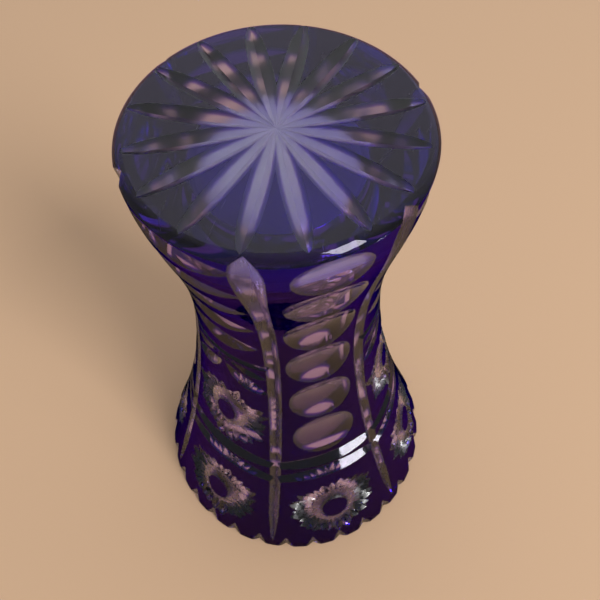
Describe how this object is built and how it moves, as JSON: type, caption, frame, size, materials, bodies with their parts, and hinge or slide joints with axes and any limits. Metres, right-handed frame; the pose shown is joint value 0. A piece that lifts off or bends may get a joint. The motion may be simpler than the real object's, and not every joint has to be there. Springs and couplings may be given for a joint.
{
  "type": "cut crystal vase",
  "caption": "Trumpet vase of clear crystal cased in cobalt and cut to clear, with long mitres, thumbprints, leaf ladders and flower stars, a scalloped mouth and a star-cut foot.",
  "frame": {"origin": "centre of the plane of the mouth, on the ground the upended vase stands on", "axes": "+Z along the vase's axis from the mouth to the foot, which is on top because the vase is stored upended as it was seen; -Y through one of the six long mitre cuts"},
  "size_m": [0.1194, 0.1194, 0.2],
  "materials": {
    "crystal": "clear lead crystal, fire polished in the hollow, wheel cut and acid polished outside",
    "cobalt_overlay": "thin layer of deep cobalt violet glass, polished"
  },
  "bodies": {
    "root": {"band_strip_1": "cobalt_overlay", "band_strip_2": "cobalt_overlay", "band_strip_3": "cobalt_overlay", "band_strip_4": "cobalt_overlay", "band_strip_5": "cobalt_overlay", "band_strip_6": "cobalt_overlay", "clear_body": "crystal", "foot_star_disc": "cobalt_overlay", "ladder_panel_1": "cobalt_overlay", "ladder_panel_2": "cobalt_overlay", "ladder_panel_3": "cobalt_overlay", "lower_star_button_1": "cobalt_overlay", "lower_star_button_2": "cobalt_overlay", "lower_star_button_3": "cobalt_overlay", "lower_star_button_4": "cobalt_overlay", "lower_star_button_5": "cobalt_overlay", "lower_star_button_6": "cobalt_overlay", "lower_star_panel_1": "cobalt_overlay", "lower_star_panel_2": "cobalt_overlay", "lower_star_panel_3": "cobalt_overlay", "lower_star_panel_4": "cobalt_overlay", "lower_star_panel_5": "cobalt_overlay", "lower_star_panel_6": "cobalt_overlay", "thumbprint_panel_1": "cobalt_overlay", "thumbprint_panel_2": "cobalt_overlay", "thumbprint_panel_3": "cobalt_overlay", "upper_star_button_1": "cobalt_overlay", "upper_star_button_2": "cobalt_overlay", "upper_star_button_3": "cobalt_overlay", "upper_star_panel_1": "cobalt_overlay", "upper_star_panel_2": "cobalt_overlay", "upper_star_panel_3": "cobalt_overlay"}
  },
  "joints": []
}
